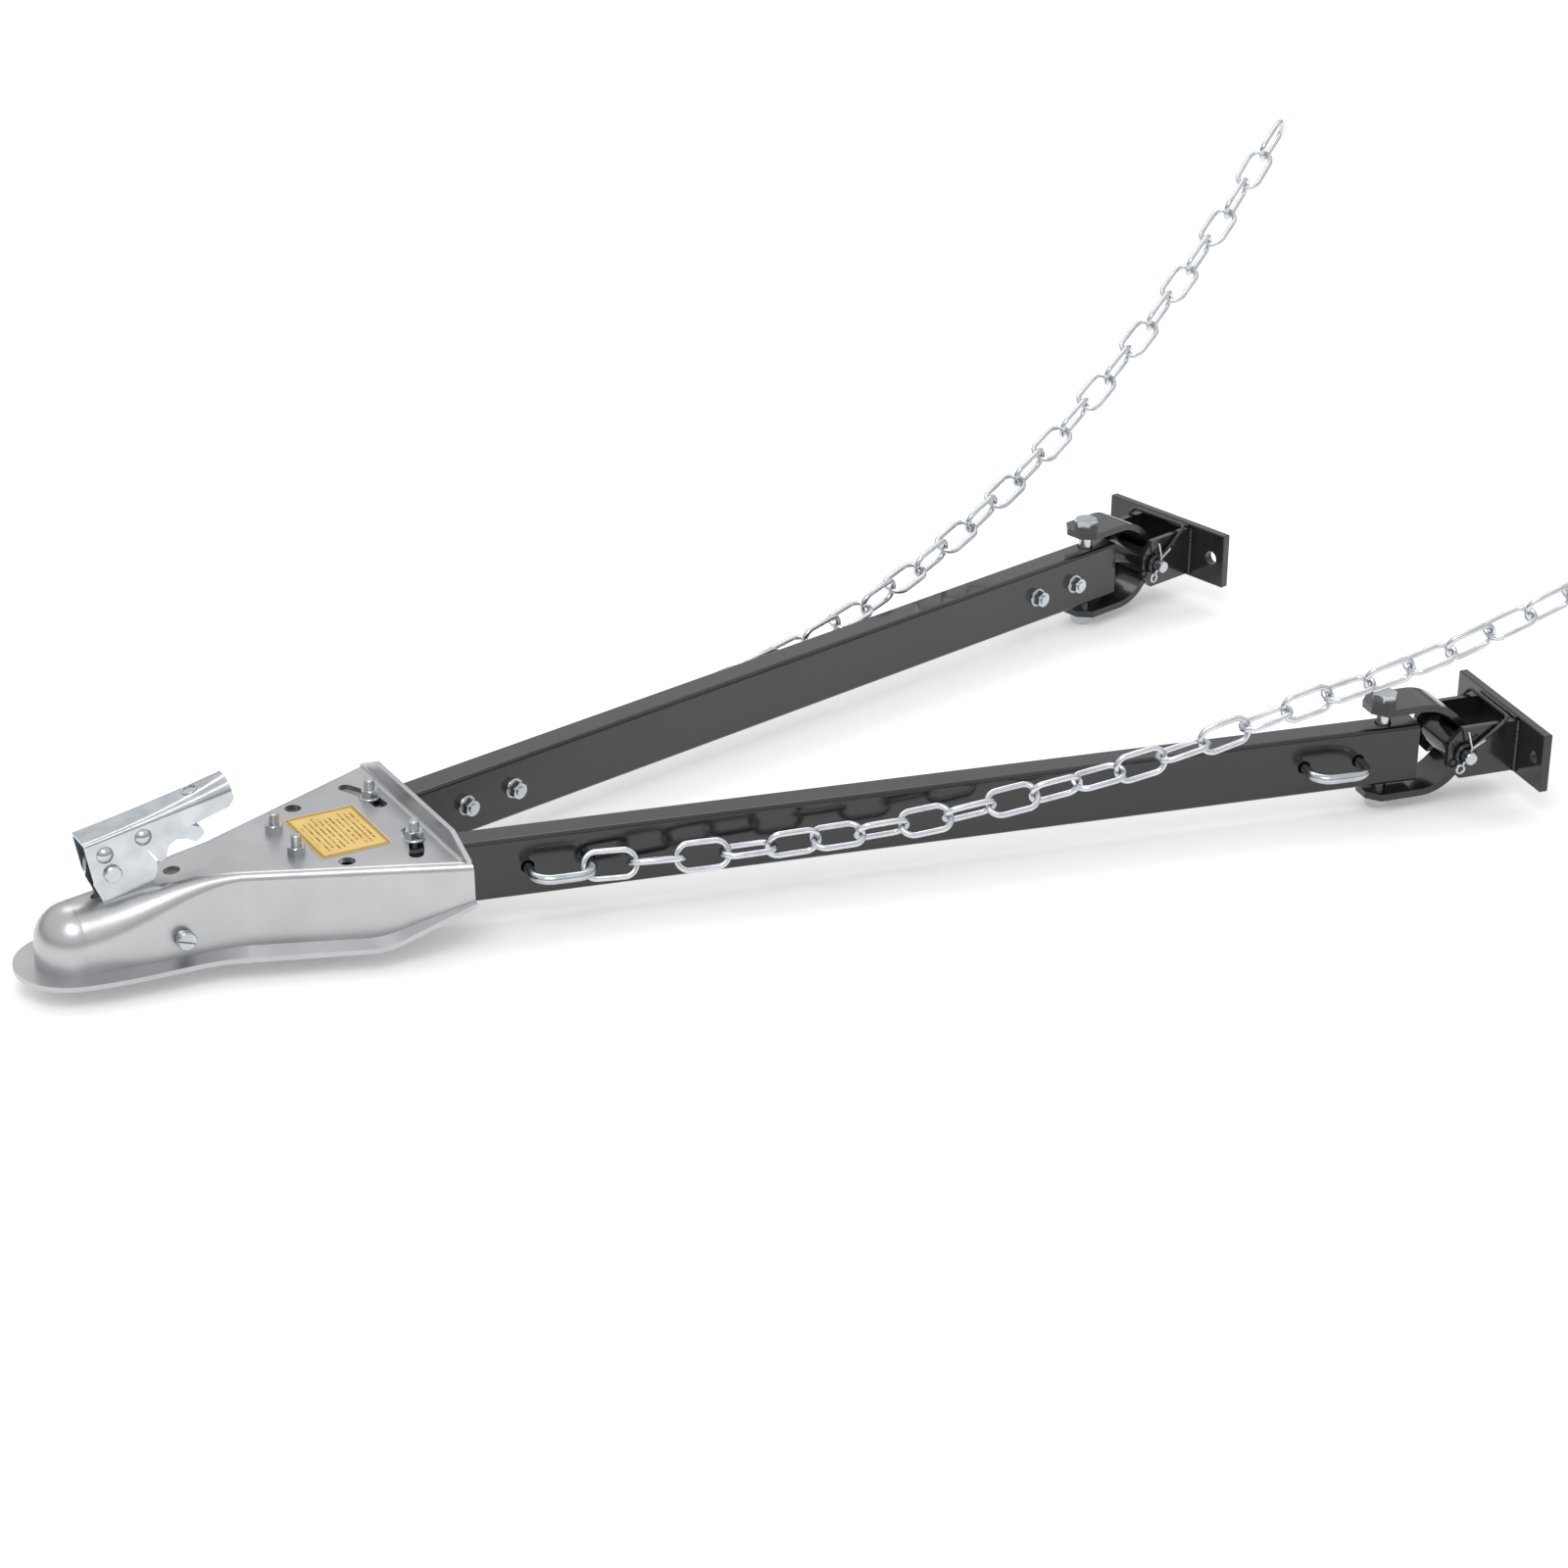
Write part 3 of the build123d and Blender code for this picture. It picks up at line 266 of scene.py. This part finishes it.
def label_film():
    """Gold film label with a double brown border and plain brown bars in place of any wording."""
    m = Shader("label_film")
    texture = m.group(FINISH, Grain_Scale=1200.0, Cloud_Scale=40.0, Speck_Scale=600.0)
    gold = m.ramp(texture.outputs["Cloud"], (0.70, 0.48, 0.14), (0.78, 0.55, 0.19))
    place = m.node("ShaderNodeTexCoord").outputs["Object"]
    axes = m.node("ShaderNodeSeparateXYZ")
    m.link(place, axes.inputs["Vector"])

    def maths(operation, first, second=None):
        made = m.node("ShaderNodeMath", operation=operation)
        for slot, value in enumerate((first, second)):
            if isinstance(value, (int, float)):
                made.inputs[slot].default_value = value
            elif value is not None:
                m.link(value, made.inputs[slot])
        return made.outputs["Value"]

    def inset(axis, middle, size):
        """Distance in mm from the nearer edge of the label along one axis."""
        offset = maths("ABSOLUTE", maths("SUBTRACT", maths("MULTIPLY", axes.outputs[axis], 1000.0), middle))
        return maths("SUBTRACT", size / 2, offset)

    def between(value, low, high):
        return maths("MULTIPLY", maths("GREATER_THAN", value, low), maths("LESS_THAN", value, high))

    edge_x, edge_y = inset("X", LABEL_MID[0], LABEL_SIZE[0]), inset("Y", LABEL_MID[1], LABEL_SIZE[1])
    edge = maths("MINIMUM", edge_x, edge_y)
    border = maths("MAXIMUM", between(edge, 1.0, 2.0), between(edge, 2.8, 3.4))
    # The bars run along Y in rows along X; each row is broken into short pieces of uneven length.
    along = maths("MULTIPLY", axes.outputs["X"], 1000.0 / 4.4)
    row = maths("FLOOR", along)
    bar = between(maths("FRACT", along), 0.30, 0.66)
    letters = m.node("ShaderNodeTexNoise")
    letters.inputs["Scale"].default_value = 1.0
    letters.inputs["Detail"].default_value = 0.0
    spot = m.node("ShaderNodeCombineXYZ")
    m.link(maths("MULTIPLY", row, 7.31), spot.inputs["X"])
    m.link(maths("MULTIPLY", axes.outputs["Y"], 900.0), spot.inputs["Y"])
    m.link(spot.outputs["Vector"], letters.inputs["Vector"])
    ends = m.node("ShaderNodeTexWhiteNoise", noise_dimensions="1D")
    m.link(row, ends.inputs["W"])
    margin = maths("ADD", 6.0, maths("MULTIPLY", ends.outputs["Value"], 14.0))
    inside = maths("MULTIPLY", maths("GREATER_THAN", edge_y, margin), maths("GREATER_THAN", edge_x, 6.0))
    dashes = maths("GREATER_THAN", letters.outputs["Fac"], 0.44)
    printed = maths("MULTIPLY", maths("MULTIPLY", bar, inside), dashes)
    ink = maths("MAXIMUM", border, maths("MULTIPLY", printed, 0.8))
    mix = m.node("ShaderNodeMix", data_type="RGBA")
    m.link(ink, mix.inputs["Factor"])
    m.link(gold, mix.inputs["A"])
    mix.inputs["B"].default_value = (0.10, 0.045, 0.012, 1)
    m.link(mix.outputs["Result"], m.shader.inputs["Base Color"])
    m.link(m.spread(texture.outputs["Cloud"], 0.42, 0.52), m.shader.inputs["Roughness"])
    m.bump(texture.outputs["Grain"], 0.04, 0.0002)
    m.put(Specular_IOR_Level=0.25)
    return m.material


SILVER = silver_paint()
BLACK = black_powder_coat()
ZINC = bright_zinc("bright_zinc", (0.46, 0.49, 0.51), (0.60, 0.63, 0.65), (0.17, 0.27))
CHAIN_ZINC = bright_zinc("chain_zinc", (0.58, 0.60, 0.63), (0.74, 0.76, 0.78), (0.15, 0.24), lines=False)
STEEL = plain_steel()
THREAD = threaded_zinc()
WELD = weld_metal()
LABEL = label_film()

FINISH_OF = {"silver_paint": SILVER, "black_powder_coat": BLACK, "zinc_plate": ZINC, "chain_zinc": CHAIN_ZINC,
             "plain_steel": STEEL, "label": LABEL}


def dress_nodes():
    """Give every modelled piece its finish."""
    for part in frame["record"]["subparts"]:
        piece = nodes[part["node"]]
        piece.data.materials.clear()
        piece.data.materials.append(FINISH_OF[part["material_slot"]])


dress_nodes()


# ================================================================ repeated details, by Geometry Nodes
class Repeater:
    """A Geometry Nodes tree with named inputs, used to lay copies of one shape on points."""

    def __init__(self, name, material):
        self.tree = bpy.data.node_groups.new(name, "GeometryNodeTree")
        self.tree.interface.new_socket("Geometry", in_out="INPUT", socket_type="NodeSocketGeometry")
        self.tree.interface.new_socket("Geometry", in_out="OUTPUT", socket_type="NodeSocketGeometry")
        self.start = self.tree.nodes.new("NodeGroupInput")
        self.end = self.tree.nodes.new("NodeGroupOutput")
        self.material = material
        self.sockets = {}

    def size(self, label, value):
        socket = self.tree.interface.new_socket(label, in_out="INPUT", socket_type="NodeSocketFloat")
        socket.default_value = value
        self.sockets[label] = socket.identifier
        return label

    def node(self, kind, **settings):
        made = self.tree.nodes.new(kind)
        for key, value in settings.items():
            setattr(made, key, value)
        return made

    def link(self, source, target):
        self.tree.links.new(source, target)

    def close(self, geometry):
        real = self.node("GeometryNodeRealizeInstances")
        paint = self.node("GeometryNodeSetMaterial")
        smooth = self.node("GeometryNodeSetShadeSmooth")
        paint.inputs["Material"].default_value = self.material
        self.link(geometry, real.inputs["Geometry"])
        self.link(real.outputs["Geometry"], smooth.inputs["Geometry"])
        self.link(smooth.outputs["Geometry"], paint.inputs["Geometry"])
        self.link(paint.outputs["Geometry"], self.end.inputs["Geometry"])

    def make(self, name, source, **sizes):
        """Run the tree on a source mesh and return a plain mesh object."""
        holder = bpy.data.objects.new(name + "_points", source)
        bpy.context.scene.collection.objects.link(holder)
        modifier = holder.modifiers.new("repeat", "NODES")
        modifier.node_group = self.tree
        for label, value in sizes.items():
            modifier[self.sockets[label.replace("_", " ")]] = value
        evaluated = holder.evaluated_get(bpy.context.evaluated_depsgraph_get())
        mesh = bpy.data.meshes.new_from_object(evaluated)
        bpy.data.objects.remove(holder)
        piece = bpy.data.objects.new(name, mesh)
        bpy.context.scene.collection.objects.link(piece)
        return piece


def point_mesh(name, places, **directions):
    """Loose points carrying named directions that their copies are turned to."""
    mesh = bpy.data.meshes.new(name)
    mesh.from_pydata(places, [], [])
    for label, vectors in directions.items():
        stored = mesh.attributes.new(label, "FLOAT_VECTOR", "POINT")
        for n, vector in enumerate(vectors):
            stored.data[n].vector = vector
    return mesh


def thread_rings(name, material):
    """A thin round ring at each point, square to its direction."""
    r = Repeater(name, material)
    r.size("Radius", BOLT_R * MM)
    r.size("Wire", 0.45 * MM)
    ring = r.node("GeometryNodeCurvePrimitiveCircle")
    ring.inputs["Resolution"].default_value = 28
    profile = r.node("GeometryNodeCurvePrimitiveCircle")
    profile.inputs["Resolution"].default_value = 6
    sweep = r.node("GeometryNodeCurveToMesh")
    copies = r.node("GeometryNodeInstanceOnPoints")
    turn = r.node("FunctionNodeAlignRotationToVector", axis="Z")
    facing = r.node("GeometryNodeInputNamedAttribute", data_type="FLOAT_VECTOR")
    facing.inputs["Name"].default_value = "facing"
    r.link(r.start.outputs["Radius"], ring.inputs["Radius"])
    r.link(r.start.outputs["Wire"], profile.inputs["Radius"])
    r.link(ring.outputs["Curve"], sweep.inputs["Curve"])
    r.link(profile.outputs["Curve"], sweep.inputs["Profile Curve"])
    r.link(r.start.outputs["Geometry"], copies.inputs["Points"])
    r.link(sweep.outputs["Mesh"], copies.inputs["Instance"])
    r.link(facing.outputs["Attribute"], turn.inputs["Vector"])
    r.link(turn.outputs["Rotation"], copies.inputs["Rotation"])
    r.close(copies.outputs["Instances"])
    return r


def add_threads():
    """Thread crests on every bolt end that stands out of its nut."""
    rings = thread_rings("thread_rings", THREAD)
    up = Vector((0, 0, 1))

    def run(place, direction, count, step=1.25):
        return [(place + direction * n * step * MM, direction) for n in range(count)]

    pivots = [spot for side in SIDES for spot in run(arm_point(side, 0, 0, NUT_THREAD_Z), up, 7)]
    lay_rings(rings, "pivot_bolt_threads", "coupler", pivots, BOLT_R)
    for side in SIDES:
        body = f"{side}_arm"
        lock = run(arm_point(side, LOCK_R, 0, NUT_THREAD_Z + 1.0), up, 6)
        lay_rings(rings, f"{side}_lock_bolt_threads", body, lock, BOLT_R)
        tail = run(arm_point(side, YOKE_BOLT, 0, YOKE_THREAD_Z), up, 1)
        lay_rings(rings, f"{side}_yoke_bolt_threads", body, tail, YOKE_BOLT_R)
        inward = (arm_point(side, 0, -1, 0) - arm_point(side, 0, 0, 0)).normalized()
        legs = []
        for along in U_BOLT_LEGS:
            legs += run(arm_point(side, along, U_BOLT_NUT_TOP, ARM_MID), inward, 3, 1.0)
        lay_rings(rings, f"{side}_u_bolt_threads", body, legs, BOLT_R)


def lay_rings(rings, name, body, runs, radius):
    places, directions = zip(*runs)
    source = point_mesh(name + "_at", places, facing=directions)
    piece = rings.make(name, source, Radius=(radius - THREAD_DEPTH) * MM, Wire=THREAD_WIRE * MM)
    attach(piece, body)


def chain_link():
    """One oval link at each point, its length turned to one direction and its width to another."""
    r = Repeater("chain_link", CHAIN_ZINC)
    r.size("Wire", LINK_WIRE / 2 * MM)
    r.size("Bow", (LINK_W - LINK_WIRE) / 2 * MM)
    r.size("Half Straight", (LINK_SPAN - LINK_W + LINK_WIRE) / 2 * MM)
    r.size("Weld Radius", (LINK_WIRE / 2 + 0.2) * MM)
    r.size("Weld Half Width", 1.3 * MM)
    circle = r.node("GeometryNodeCurvePrimitiveCircle")
    circle.inputs["Resolution"].default_value = 44
    axes = r.node("ShaderNodeSeparateXYZ")
    half = r.node("ShaderNodeMath", operation="SIGN")
    shift = r.node("ShaderNodeMath", operation="MULTIPLY")
    offset = r.node("ShaderNodeCombineXYZ")
    oval = r.node("GeometryNodeSetPosition")
    profile = r.node("GeometryNodeCurvePrimitiveCircle")
    profile.inputs["Resolution"].default_value = 14
    sweep = r.node("GeometryNodeCurveToMesh")
    r.link(r.start.outputs["Bow"], circle.inputs["Radius"])
    r.link(r.node("GeometryNodeInputPosition").outputs["Position"], axes.inputs["Vector"])
    r.link(axes.outputs["Y"], half.inputs[0])
    r.link(half.outputs["Value"], shift.inputs[0])
    r.link(r.start.outputs["Half Straight"], shift.inputs[1])
    r.link(shift.outputs["Value"], offset.inputs["Y"])
    r.link(circle.outputs["Curve"], oval.inputs["Geometry"])
    r.link(offset.outputs["Vector"], oval.inputs["Offset"])
    r.link(r.start.outputs["Wire"], profile.inputs["Radius"])
    r.link(oval.outputs["Geometry"], sweep.inputs["Curve"])
    r.link(profile.outputs["Curve"], sweep.inputs["Profile Curve"])
    ball = r.node("GeometryNodeMeshUVSphere")
    ball.inputs["Segments"].default_value = 16
    ball.inputs["Rings"].default_value = 10
    place = r.node("ShaderNodeCombineXYZ")
    stretch = r.node("ShaderNodeCombineXYZ")
    weld = r.node("GeometryNodeTransform")
    r.link(r.start.outputs["Bow"], place.inputs["X"])
    for axis, label in (("X", "Weld Radius"), ("Y", "Weld Half Width"), ("Z", "Weld Radius")):
        r.link(r.start.outputs[label], stretch.inputs[axis])
    r.link(ball.outputs["Mesh"], weld.inputs["Geometry"])
    r.link(place.outputs["Vector"], weld.inputs["Translation"])
    r.link(stretch.outputs["Vector"], weld.inputs["Scale"])
    whole = r.node("GeometryNodeJoinGeometry")
    r.link(sweep.outputs["Mesh"], whole.inputs["Geometry"])
    r.link(weld.outputs["Geometry"], whole.inputs["Geometry"])
    lengthwise = r.node("FunctionNodeAlignRotationToVector", axis="Y")
    widthwise = r.node("FunctionNodeAlignRotationToVector", axis="X", pivot_axis="Y")
    for turn, name in ((lengthwise, "facing"), (widthwise, "flank")):
        read = r.node("GeometryNodeInputNamedAttribute", data_type="FLOAT_VECTOR")
        read.inputs["Name"].default_value = name
        r.link(read.outputs["Attribute"], turn.inputs["Vector"])
    copies = r.node("GeometryNodeInstanceOnPoints")
    r.link(lengthwise.outputs["Rotation"], widthwise.inputs["Rotation"])
    r.link(r.start.outputs["Geometry"], copies.inputs["Points"])
    r.link(whole.outputs["Geometry"], copies.inputs["Instance"])
    r.link(widthwise.outputs["Rotation"], copies.inputs["Rotation"])
    r.close(copies.outputs["Instances"])
    return r


def islands(mesh):
    """Vertices of each separate solid of a mesh, found by joining faces that share a place."""
    parent = {}

    def find(k):
        while parent[k] != k:
            parent[k] = parent[parent[k]]
            k = parent[k]
        return k

    key = [tuple(round(c * 1e6) for c in v.co) for v in mesh.vertices]
    for k in key:
        parent.setdefault(k, k)
    for face in mesh.polygons:
        first = find(key[face.vertices[0]])
        for v in face.vertices[1:]:
            parent[find(key[v])] = first
    groups = {}
    for v in mesh.vertices:
        groups.setdefault(find(key[v.index]), []).append(v.co.copy())
    return list(groups.values())


def link_frame(solid):
    """Middle, long direction and wide direction of one link, from the spread of its vertices."""
    spots = np.array([tuple(spot) for spot in solid])
    middle = spots.mean(axis=0)
    across, along = np.linalg.eigh(np.cov((spots - middle).T))[1].T[1:]
    for axis in (across, along):
        reach = (spots - middle) @ axis
        middle = middle + axis * (reach.max() + reach.min()) / 2
    if across[2] < 0:
        across = -across
    return Vector(middle), Vector(along), Vector(across)


def add_chains():
    """Round-wire links laid where the modelled links are, each with its upset weld."""
    links = chain_link()
    for side in SIDES:
        for n in CHAIN_RUNS:
            node = f"{side}_chain_{n}"
            frames = [link_frame(solid) for solid in islands(nodes[node].data)]
            middles, lengths, widths = zip(*frames)
            source = point_mesh(node + "_at", middles, facing=lengths, flank=widths)
            piece = links.make(node + "_links", source)
            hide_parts(node)
            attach(piece, node)


def weld_bead(name, body, route, radius):
    """A rippled bead along a route, from a curve with an uneven radius."""
    curve = bpy.data.curves.new(name, "CURVE")
    curve.dimensions = "3D"
    curve.bevel_depth = radius * MM
    curve.bevel_resolution = 3
    curve.use_fill_caps = True
    spline = curve.splines.new("POLY")
    start, end = route
    steps = max(8, int((end - start).length / (1.1 * MM)))
    spline.points.add(steps)
    for n in range(steps + 1):
        spot = start.lerp(end, n / steps)
        spline.points[n].co = (*spot, 1)
        spline.points[n].radius = 0.82 + 0.18 * cos(n * pi) * sin(n * 0.37 + 1) + 0.12 * sin(n * 1.7)
    holder = bpy.data.objects.new(name + "_curve", curve)
    bpy.context.scene.collection.objects.link(holder)
    mesh = bpy.data.meshes.new_from_object(holder.evaluated_get(bpy.context.evaluated_depsgraph_get()))
    bpy.data.objects.remove(holder)
    mesh.materials.clear()
    mesh.materials.append(WELD)
    for face in mesh.polygons:
        face.use_smooth = True
    piece = bpy.data.objects.new(name, mesh)
    bpy.context.scene.collection.objects.link(piece)
    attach(piece, body)


def add_bracket_welds():
    """Fillet beads where each channel stands on its mounting plate."""
    x = PLATE_X - 0.8
    top, low = PIN_Z + CHANNEL_HALF_H, PIN_Z - CHANNEL_HALF_H
    half = CHANNEL_HALF + 0.6
    for side in SIDES:
        at = lambda out, z: arm_point(side, x, out, z, True)
        weld_bead(f"{side}_outer_weld", f"{side}_bracket", (at(half, low), at(half, top)), 2.6)
        weld_bead(f"{side}_inner_weld", f"{side}_bracket", (at(-half, low), at(-half, top)), 2.6)
        across = (at(-half + 3, top + 0.4), at(half - 3, top + 0.4))
        weld_bead(f"{side}_top_weld", f"{side}_bracket", across, 2.2)


def add_lever_emboss():
    """Raised ring pressed into the top of the lever near its end."""
    rake, slope = radians(LEVER_RAKE), radians(LEVER_RAKE + EMBOSS_SLOPE)
    u, v = EMBOSS_AT
    place = Vector((LEVER_X + u * cos(rake) - v * sin(rake), 0, LEVER_Z + u * sin(rake) + v * cos(rake))) * MM
    rings = thread_rings("emboss_ring", ZINC)
    source = point_mesh("lever_emboss_at", [place], facing=[Vector((-sin(slope), 0, cos(slope)))])
    piece = rings.make("lever_emboss", source, Radius=EMBOSS_R * MM, Wire=0.7 * MM)
    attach(piece, "lever")


add_threads()
add_chains()
add_bracket_welds()
add_lever_emboss()


# ================================================================ floor, light and camera
def floor():
    m = Shader("studio_floor")
    texture = m.group(FINISH, Grain_Scale=60.0, Cloud_Scale=1.5, Speck_Scale=40.0)
    coat = m.ramp(texture.outputs["Cloud"], (0.90, 0.90, 0.90), (0.92, 0.92, 0.92))
    m.link(coat, m.shader.inputs["Base Color"])
    m.put(Roughness=0.9, Specular_IOR_Level=0.1, Emission_Color=(1, 1, 1, 1), Emission_Strength=0.22)
    mesh = bpy.data.meshes.new("studio_floor")
    half, z = 60.0, cad_box[0][2] - 0.0005
    corners = [(-half, -half, z), (half, -half, z), (half, half, z), (-half, half, z)]
    mesh.from_pydata(corners, [], [(0, 1, 2, 3)])
    mesh.materials.append(m.material)
    plane = bpy.data.objects.new("studio_floor", mesh)
    bpy.context.scene.collection.objects.link(plane)


def softbox(name, place, target, size, power):
    lamp = bpy.data.lights.new(name, "AREA")
    lamp.shape = "RECTANGLE"
    lamp.size, lamp.size_y = size
    lamp.energy = power
    box = bpy.data.objects.new(name, lamp)
    box.location = place
    box.rotation_euler = (Vector(target) - Vector(place)).to_track_quat("-Z", "Y").to_euler()
    bpy.context.scene.collection.objects.link(box)


def sky():
    """Pale studio surround, brighter overhead."""
    world = bpy.data.worlds.new("studio")
    bpy.context.scene.world = world
    world.use_nodes = True
    tree = world.node_tree
    place = tree.nodes.new("ShaderNodeTexCoord")
    axes = tree.nodes.new("ShaderNodeSeparateXYZ")
    ramp = tree.nodes.new("ShaderNodeValToRGB")
    tree.links.new(place.outputs["Generated"], axes.inputs["Vector"])
    tree.links.new(axes.outputs["Z"], ramp.inputs["Fac"])
    tree.links.new(ramp.outputs["Color"], tree.nodes["Background"].inputs["Color"])
    stops = ramp.color_ramp.elements
    stops[0].position, stops[0].color = 0.0, (0.16, 0.16, 0.17, 1)
    stops[1].position, stops[1].color = 1.0, (1.0, 1.0, 1.0, 1)
    for height, shade in ((0.10, 0.24), (0.26, 0.76), (0.55, 0.95)):
        stops.new(height).color = (shade, shade, shade * 1.02, 1)
    tree.nodes["Background"].inputs["Strength"].default_value = 0.9


def camera():
    """Long lens, thirty degrees round from the side and twenty-five above."""
    azimuth, elevation, roll = radians(-29.907), radians(25.493), radians(0.543)
    back = Vector((sin(azimuth) * cos(elevation), -cos(azimuth) * cos(elevation), sin(elevation)))
    level = Vector((cos(azimuth), sin(azimuth), 0))
    upward = back.cross(level)
    right = level * cos(roll) + upward * sin(roll)
    up = upward * cos(roll) - level * sin(roll)
    aim = Vector((PIVOT_X, 0, DECK_Z - 4.0))
    place = (aim + back * 2907.78 + right * 379.89 + up * 48.0) * MM
    lens = bpy.data.cameras.new("studio_camera")
    lens.sensor_width = 36.0
    lens.lens = 3892.5 / 1600 * lens.sensor_width
    lens.clip_end = 100.0
    view = bpy.data.objects.new("studio_camera", lens)
    view.matrix_world = Matrix.Translation(place) @ Matrix((right, up, back)).transposed().to_4x4()
    bpy.context.scene.collection.objects.link(view)
    bpy.context.scene.camera = view


floor()
sky()
softbox("key_softbox", (-0.6, -1.6, 2.4), (0.4, 0, 0), (1.6, 1.2), 24.0)
softbox("rear_softbox", (0.9, 1.6, 2.6), (0.5, 0, 0.05), (2.4, 1.0), 16.0)
camera()
scene = bpy.context.scene
scene.view_settings.view_transform = "Standard"
